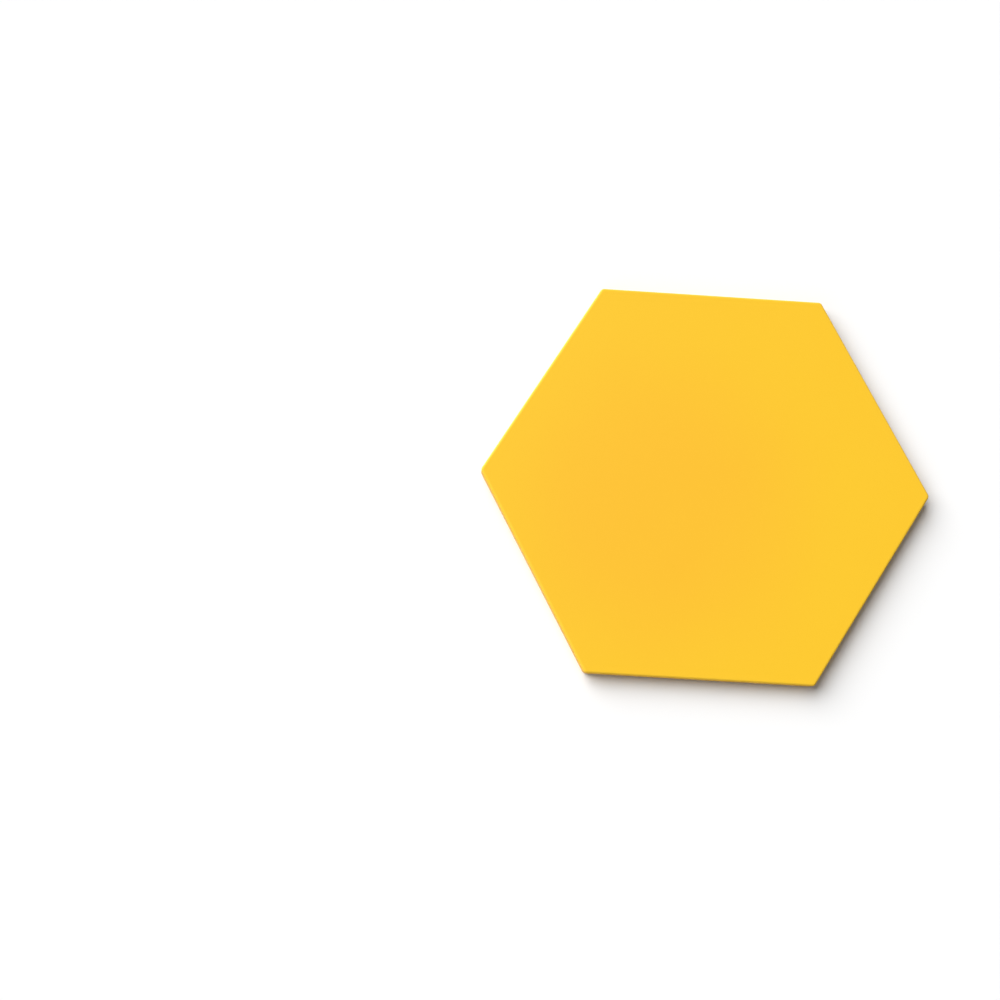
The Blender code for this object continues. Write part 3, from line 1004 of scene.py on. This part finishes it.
@dataclass
class FaceTray:
    """The visible face, its six walls and its return lips, folded from one sheet."""

    plan: Hexagon
    sheet: float = 0.002
    fold_inside: float = 0.001
    lip_width: float = 0.020
    mitre_gap: float = 0.0012
    relief_radius: float = 0.0025
    rivet_hole: float = 0.0023
    rivet_sink: float = 0.0044
    broken_edge: float = 0.0002

    @property
    def fold_outside(self) -> float:
        """Outside radius of the folds."""
        return self.fold_inside + self.sheet

    def shell(self) -> Piece:
        """The folded sheet before its seams and holes are cut.

        Returns:
            The tray, open at the back between its lips.
        """
        plan, sheet = self.plan, self.sheet
        tray = plan.block(
            "face_tray_folded", 0, (0, plan.depth), plan.rounding, self.fold_outside
        )
        inner = (sheet, plan.depth - sheet)
        cut(tray, plan.block("hollow", sheet, inner, plan.rounding - sheet, self.fold_inside))
        cut(tray, plan.block("opening", self.lip_width, (-sheet, 1.5 * sheet)))
        return tray

    def cut_mitres(self, tray: Piece) -> None:
        """Cut the open seams between the lips, each ending in its relief hole.

        Args:
            tray: The folded sheet.
        """
        low, high = -self.sheet, 2 * self.sheet
        relief = self.plan.corner_wall(self.fold_outside + self.relief_radius)
        mouth = self.plan.corner_radius(self.lip_width) - self.lip_width
        half = self.mitre_gap / 2
        cut(tray, round_the_panel(block("seam", (mouth, -half, low), (relief, half, high))))
        cut(tray, round_the_panel(rod("relief", self.relief_radius, low, high, (relief, 0))))

    def cut_rivet_holes(self, tray: Piece, rivets: Iterable[str]) -> None:
        """Countersink the lips for the flush rivets.

        Args:
            tray: The folded sheet.
            rivets: Names of the rivets' nodes.
        """
        cone = (self.rivet_sink - self.rivet_hole) / math.tan(SINK_ANGLE)
        profile = [
            (self.rivet_sink, -self.sheet),
            (self.rivet_sink, 0),
            (self.rivet_hole, cone),
            (self.rivet_hole, 2 * self.sheet),
        ]
        model = turned("sink", profile)
        shifts = {f"sink_{rivet}": (*middle_of(rivet).xy, 0) for rivet in rivets}
        sinks = [copied(model, name, shift=shift) for name, shift in shifts.items()]
        bpy.data.objects.remove(model, do_unlink=True)
        cut(tray, joined(sinks))

    def build(self, rivets: Iterable[str]) -> Piece:
        """Model and dress the tray.

        Args:
            rivets: Names of the rivets' nodes.

        Returns:
            The finished tray.
        """
        tray = self.shell()
        self.cut_mitres(tray)
        self.cut_rivet_holes(tray, rivets)
        soften(tray, self.broken_edge)
        finish = PowderCoat(self.plan.apothem, self.plan.depth, self.sheet)
        dress(tray, finish.material(), "face_tray")
        return tray


@dataclass
class CornerGussets:
    """Flat angled plates that span the mitres inside the lips."""

    plan: Hexagon
    mill: bpy.types.Material
    outer_inset: float = 0.0033
    inner_inset: float = 0.0185
    leg: float = 0.052
    rounding: float = 0.004
    hole: float = 0.0023
    broken_edge: float = 0.00025

    def plate(self) -> Piece:
        """The plate at the corner on +X.

        Returns:
            The finished shape, in its place.
        """
        low, high = heights_of("corner_gusset_1")
        past = (low - SEAT, high + SEAT)
        corner_radius = self.plan.rounding - self.outer_inset
        piece = self.plan.block("gusset_model", self.outer_inset, (low, high), corner_radius)
        cut(piece, self.plan.block("inner", self.inner_inset, past))
        corner = Vector((self.plan.corner_radius(0), 0, 0))
        with editing(piece):
            for hand in (1, -1):
                along = Vector((-math.sin(HALF_SIXTH), hand * math.cos(HALF_SIXTH), 0))
                end = corner + along * self.leg
                bpy.ops.mesh.select_all(action="SELECT")
                bpy.ops.mesh.bisect(plane_co=end, plane_no=along, clear_outer=True, use_fill=True)
            half_way = self.leg * math.cos(HALF_SIXTH) / 2
            select(piece, "EDGE", lambda one, other: upright(one, other) and abs(one.y) > half_way)
            bevel(self.rounding)
        for number in (1, 2):
            cut(piece, rod("hole", self.hole, *past, middle_of(f"gusset_rivet_{number}").xy))
        soften(piece, self.broken_edge)
        record_place(piece)
        return piece

    def build(self) -> list[Piece]:
        """Model one plate and set a copy at each corner."""
        kit = Kit(self.plate(), self.mill, Slot.MILL, "corner_gusset_plate", "corner_gusset")
        return set_copies([kit], SIDES, start=0.0)


@dataclass
class HangingLugs:
    """Bent lugs in the middle of each side: a seat on the lip, a step down and a slotted tongue."""

    plan: Hexagon
    mill: bpy.types.Material
    sheet: float = 0.0025
    lip: float = 0.002
    width: float = 0.062
    start_inset: float = 0.0033
    step_inset: float = 0.023
    step_run: float = 0.006
    tongue: float = 0.032
    turn_up: float = 0.009
    bend_inside: float = 0.0015
    rounding: float = 0.005
    hole: float = 0.0023
    rivet_inset: float = 0.0115
    rivet_edge: float = 0.010
    slot_length: float = 0.020
    slot_width: float = 0.007
    slot_from_step: float = 0.014
    broken_edge: float = 0.0003

    def strip(self) -> Piece:
        """The bent strip on the side whose middle is on +X, before its holes are cut.

        Returns:
            The strip, at its full thickness.
        """
        seated = self.lip + SEAT + self.sheet / 2
        level = self.sheet / 2
        start = self.plan.apothem - self.start_inset
        step = self.plan.apothem - self.step_inset
        turn = step - self.step_run - self.tongue + self.sheet / 2
        middle_radius = self.bend_inside + self.sheet / 2
        slope = math.atan2(seated - level, self.step_run)
        bends = ((step, slope), (step - self.step_run, slope), (turn, math.radians(90)))
        piece = blank("lug_model", ((start + step) / 2, 0, seated), start - step, self.width)
        with editing(piece):
            select(piece, "EDGE", lambda one, other: max(one.x, other.x) < step + WELD)
            extrude((-self.step_run, 0, level - seated))
            extrude((turn - step + self.step_run, 0, 0))
            extrude((0, 0, self.turn_up - level))
            for place, angle in bends:
                select(
                    piece,
                    "EDGE",
                    lambda one, other: abs(one.x - place) < WELD
                    and abs(other.x - place) < WELD
                    and abs(one.z - other.z) < WELD
                    and min(one.z, other.z) < self.turn_up - WELD,
                )
                bevel(middle_radius * math.tan(angle / 2))
            ends = (start - WELD, self.turn_up - WELD)
            select(piece, "VERT", lambda co: co.x > ends[0] or co.z > ends[1])
            bevel(self.rounding, affect="VERTICES")
        thicken(piece, self.sheet)
        return piece

    def build(self) -> list[Piece]:
        """Model one lug and set a copy at the middle of each side.

        Returns:
            The finished lugs.
        """
        model = self.strip()
        top = self.lip + SEAT + self.sheet
        for hand in (1, -1):
            sideways = hand * (self.width / 2 - self.rivet_edge)
            centre = (self.plan.apothem - self.rivet_inset, sideways)
            cut(model, rod("hole", self.hole, 0, top + self.sheet, centre))
        middle = self.plan.apothem - self.step_inset - self.step_run - self.slot_from_step
        cut(model, slotted_rod(self.slot_length, self.slot_width, -top, top, (middle, 0)))
        soften(model, self.broken_edge)
        # The steep parts count as a run on along X, and height alone hardly shifts the grain.
        record_place(model, lambda co: (co.x - co.z, co.y, 0.05 * co.z))
        kit = Kit(model, self.mill, Slot.MILL, "hanging_lug_bent", "hanging_lug")
        return set_copies([kit], SIDES, start=HALF_SIXTH)


@dataclass
class FlushRivets:
    """Blind rivets: countersunk heads flush with the lips, and blind heads tight on the inside."""

    drawn: bpy.types.Material
    radius: float = 0.002
    head_radius: float = 0.00375
    head_edge: Span = (0.00005, 0.0002)
    recess: float = 0.0002
    pin_radius: float = 0.0011
    pin_depth: float = 0.0008
    tail_radius: float = 0.0031
    tail_height: float = 0.003
    tail: tuple[Span, ...] = (  # radius and height on the blind head, as shares of the whole
        (0.88, 0.0),
        (1.0, 0.30),
        (0.97, 0.50),
        (0.80, 0.68),
        (0.55, 0.76),
        (0.50, 0.80),
        (0.50, 0.92),
        (0.30, 1.0),
    )
    broken_edge: float = 0.00012

    def model(self, node: str) -> Piece:
        """One rivet on the axis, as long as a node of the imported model.

        Args:
            node: The node whose length it takes.

        Returns:
            The finished shape.
        """
        base = heights_of(node)[1] - self.tail_height
        cone = (self.head_radius - self.radius) / math.tan(SINK_ANGLE)
        in_edge, up_edge = self.head_edge
        profile = [
            (self.pin_radius, self.recess + self.pin_depth),
            (self.pin_radius, self.recess),
            (self.head_radius, self.recess),
            (self.head_radius - in_edge, self.recess + up_edge),
            (self.radius, self.recess + cone),
            (self.radius, base),
        ]
        profile += [(r * self.tail_radius, base + h * self.tail_height) for r, h in self.tail]
        piece = turned(f"{node}_model", profile)
        soften(piece, self.broken_edge, sharp=40.0)
        record_place(piece)
        return piece

    def build(self, kind: str, count: int) -> list[Piece]:
        """Model one rivet and set a copy on each node of a kind."""
        kit = Kit(self.model(f"{kind}_1"), self.drawn, Slot.DRAWN, f"{kind}_flush", kind)
        return set_copies([kit], count)


@dataclass
class Stiffeners:
    """U channels bolted to the back of the face, their legs snipped at the ends."""

    mill: bpy.types.Material
    sheet: float = 0.0015
    bend_inside: float = 0.001
    snip: float = 0.007
    hole_length: float = 0.012
    hole_width: float = 0.0071
    broken_edge: float = 0.0002
    count: int = 2
    studs_each: int = 3

    def channel(self) -> Piece:
        """One channel over the middle of the panel.

        Returns:
            The finished shape.
        """
        low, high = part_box("stiffener_1")
        half_width = (high.x - low.x - self.sheet) / 2
        web = high.z - self.sheet / 2
        edge = half_width - WELD
        piece = blank("channel_model", (0, 0, web), 2 * half_width, high.y - low.y)
        with editing(piece):
            for hand in (1, -1):
                select(piece, "EDGE", lambda *ends: min(hand * end.x for end in ends) > edge)
                extrude((0, 0, low.z - web))
            for hand in (1, -1):
                select(
                    piece,
                    "EDGE",
                    lambda *ends: min(hand * end.x for end in ends) > edge
                    and min(end.z for end in ends) > web - WELD,
                )
                bevel(self.bend_inside + self.sheet / 2)
            select(piece, "VERT", lambda co: co.z < low.z + WELD)
            bevel(self.snip, 1, affect="VERTICES")
            face_outwards()
        thicken(piece, self.sheet)
        for stud in range(1, self.studs_each + 1):
            centre = (0, middle_of(f"weld_stud_{stud}").y)
            ends = (web - self.sheet, web + self.sheet)
            cut(piece, slotted_rod(self.hole_length, self.hole_width, *ends, centre))
        soften(piece, self.broken_edge)
        record_place(piece, lambda co: (co.y, co.x, co.z))
        return piece

    def build(self) -> list[Piece]:
        """Model one channel and set a copy in each place."""
        kit = Kit(self.channel(), self.mill, Slot.MILL, "stiffener_channel", "stiffener")
        return set_copies([kit], self.count)


@dataclass
class StudFastenings:
    """Threaded weld studs on the back of the face, each with a flange nut that holds a channel."""

    drawn: bpy.types.Material
    zinc: bpy.types.Material
    stud_radius: float = 0.0025
    pitch: float = 0.0008
    thread_depth: float = 0.00042
    flank: float = 3.2  # share of the thread's depth lost in one pitch away from the groove
    weld_radius: float = 0.00325
    weld_height: float = 0.0008
    chamfer: float = 0.0006
    rings_in_pitch: int = 8
    columns: int = 24
    across_flats: float = 0.008
    nut_chamfer: float = 0.0007
    nut_chamfer_run: float = 0.00154
    flange_radius: float = 0.0059
    flange_edge: float = 0.0008
    flange_height: float = 0.0018
    flange_root: float = 0.0004
    flange_rounding: float = 0.0002
    bore_chamfer: Span = (0.0005, 0.0004)
    broken_edge: float = 0.0001
    nut_facets: int = 64
    bore_facets: int = 48
    count: int = 6

    def stud(self) -> Piece:
        """One threaded stud on the axis.

        Returns:
            The finished shape.
        """
        low, high = heights_of("weld_stud_1")
        shoulder = high - self.weld_height
        ring = self.pitch / self.rings_in_pitch
        count = int((shoulder - low) / ring)
        profile = [(self.stud_radius, low + step * ring) for step in range(count + 1)]
        profile += [(self.stud_radius, shoulder), (self.weld_radius, shoulder)]
        profile += [(self.weld_radius, high)]
        piece = turned("stud_model", profile, self.columns)
        for corner in piece.data.vertices:
            place = corner.co
            if place.z > shoulder - ring:
                continue
            phase = (place.z / self.pitch - math.atan2(place.y, place.x) / (2 * math.pi)) % 1.0
            groove = self.thread_depth * max(0.0, 1 - self.flank * abs(phase - 0.5))
            limit = self.stud_radius - max(0.0, self.chamfer - (place.z - low))
            run_out = min(1.0, (shoulder - place.z) / self.pitch)
            share = min(self.stud_radius - groove * run_out, limit) / self.stud_radius
            corner.co = (place.x * share, place.y * share, place.z)
        soften(piece, 0, sharp=50.0)
        record_place(piece)
        return piece

    def nut(self) -> Piece:
        """One flange nut on the axis.

        Returns:
            The finished shape.
        """
        low, seat = heights_of("flange_nut_1")
        flat = self.across_flats / 2
        corner = flat / math.cos(HALF_SIXTH)
        edge, rounding, thin = self.flange_edge, self.flange_rounding, self.broken_edge
        envelope = [
            (corner - self.nut_chamfer_run, low),
            (corner, low + self.nut_chamfer),
            (corner, seat - edge),
            (flat, seat),
        ]
        flange = [
            (flat - self.nut_chamfer, seat - self.flange_height - self.flange_root),
            (flat + rounding, seat - self.flange_height),
            (self.flange_radius - rounding, seat - edge),
            (self.flange_radius, seat - 0.7 * edge),
            (self.flange_radius, seat - thin),
            (self.flange_radius - thin, seat),
        ]
        bore_radius = self.stud_radius + SEAT
        across, deep = self.bore_chamfer
        bore = [
            (bore_radius + across, low - thin),
            (bore_radius, low + deep),
            (bore_radius, seat + self.nut_chamfer),
        ]
        nut = rod("nut_model", corner, low, seat, sides=SIDES)
        cut(nut, turned("envelope", envelope, self.nut_facets), "INTERSECT")
        cut(nut, turned("flange", flange, self.nut_facets), "UNION")
        cut(nut, turned("bore", bore, self.bore_facets))
        soften(nut, self.broken_edge, sharp=30.0)
        record_place(nut)
        return nut

    def build(self) -> list[Piece]:
        """Model one stud and one nut and set a copy of each in every place.

        Returns:
            The finished studs and nuts.
        """
        kits = [
            Kit(self.stud(), self.drawn, Slot.DRAWN, "weld_stud_threaded", "weld_stud"),
            Kit(self.nut(), self.zinc, Slot.ZINC, "flange_nut_plated", "flange_nut"),
        ]
        return set_copies(kits, self.count)


@dataclass(frozen=True)
class Lamp:
    """Soft studio lamp, far away, with its angles in degrees."""

    name: str
    strength: float
    tilt: float
    heading: float
    softness: float

    def hang(self) -> None:
        """Put the lamp into the scene, aimed at the panel."""
        light = bpy.data.lights.new(self.name, "SUN")
        light.energy = self.strength
        light.angle = math.radians(self.softness)
        tilt, heading = math.radians(self.tilt), math.radians(self.heading)
        level = math.sin(tilt)
        towards = Vector((level * math.cos(heading), level * math.sin(heading), math.cos(tilt)))
        lamp = bpy.data.objects.new(self.name, light)
        lamp.rotation_euler = towards.to_track_quat("Z", "Y").to_euler()
        bpy.context.scene.collection.objects.link(lamp)


@dataclass
class Studio:
    """Pale floor under a soft key light from the upper left, a weak fill and an even sky."""

    floor_size: float = 60.0
    floor_colour: Colour = (0.88, 0.88, 0.88)
    floor_roughness: float = 0.85
    lamps: tuple[Lamp, ...] = (
        Lamp("key_light", strength=4.60, tilt=47, heading=140, softness=60),
        Lamp("fill_light", strength=0.30, tilt=55, heading=-124, softness=40),
    )
    ambient: float = 0.10
    backdrop: float = 1.0

    def lay_floor(self) -> None:
        """Make the floor."""
        clear_selection()
        bpy.ops.mesh.primitive_plane_add(size=self.floor_size, location=(0, 0, 0))
        floor = bpy.context.object
        floor.name = "studio_floor"
        material, sheet = new_material("studio_floor")
        sheet.surface(
            Base_Color=opaque(self.floor_colour),
            Roughness=self.floor_roughness,
            Specular_IOR_Level=0.0,
        )
        floor.data.materials.append(material)

    def light_sky(self) -> None:
        """Make the even light all round, which the camera sees as a white backdrop."""
        world = bpy.data.worlds.new("studio_light")
        world.use_nodes = True
        bpy.context.scene.world = world
        sheet = NodeSheet(world.node_tree)
        seen = sheet.add("ShaderNodeLightPath", "Is Camera Ray")
        strength = sheet.ramp(seen, (0.0, 1.0), (self.ambient, self.backdrop))
        light = {"Color": (1, 1, 1, 1), "Strength": strength}
        sheet.close("ShaderNodeOutputWorld", sheet.add("ShaderNodeBackground", 0, light))

    def build(self) -> None:
        """Make the floor, the lamps and the surrounding light."""
        self.lay_floor()
        for lamp in self.lamps:
            lamp.hang()
        self.light_sky()
        bpy.context.scene.view_settings.view_transform = "Standard"
        bpy.context.scene.view_settings.look = "None"


@dataclass
class PhotoCamera:
    """Camera that sees the panel as the photograph does: from above, a little left and below."""

    location: Place = (-0.3092, -0.3260, 1.7319)
    tilt: Place = (9.420, -1.779, 3.234)
    focal_pixels: float = 1311.9
    frame_pixels: float = 1000.0
    sensor: float = 36.0

    def build(self) -> None:
        """Make the camera and set it as the scene's."""
        data = bpy.data.cameras.new("photo_camera")
        data.sensor_width = self.sensor
        data.lens = self.sensor * self.focal_pixels / self.frame_pixels
        data.clip_start = 0.01
        data.clip_end = 100.0
        camera = bpy.data.objects.new("photo_camera", data)
        camera.location = self.location
        camera.rotation_euler = [math.radians(angle) for angle in self.tilt]
        bpy.context.scene.collection.objects.link(camera)
        bpy.context.scene.camera = camera


def report(made: Iterable[Piece]) -> None:
    """Log each finished piece with its number of faces."""
    for piece in made:
        log.info("%s: %d faces", piece.name, len(piece.data.polygons))


def main() -> None:
    """Build the panel's pieces in order, then the studio and the camera."""
    logging.basicConfig(level=logging.INFO, format="%(message)s")
    plan = Hexagon.from_frame()
    mill = MillAluminium().material()
    drawn = TurnedMetal(
        Slot.DRAWN, light=(0.53, 0.535, 0.545), tint=(0.43, 0.44, 0.455), roughness=0.44
    ).material()
    zinc = TurnedMetal(
        Slot.ZINC, light=(0.55, 0.58, 0.61), tint=(0.58, 0.56, 0.49), roughness=0.38
    ).material()
    rivets = {"gusset_rivet": 12, "lug_rivet": 12}

    names = [f"{kind}_{number}" for kind, count in rivets.items() for number in range(1, count + 1)]
    report([FaceTray(plan).build(names)])
    report(CornerGussets(plan, mill).build())
    report(HangingLugs(plan, mill).build())
    for kind, count in rivets.items():
        report(FlushRivets(drawn).build(kind, count))
    report(Stiffeners(mill).build())
    report(StudFastenings(drawn, zinc).build())
    Studio().build()
    PhotoCamera().build()


if __name__ == "__main__":
    main()
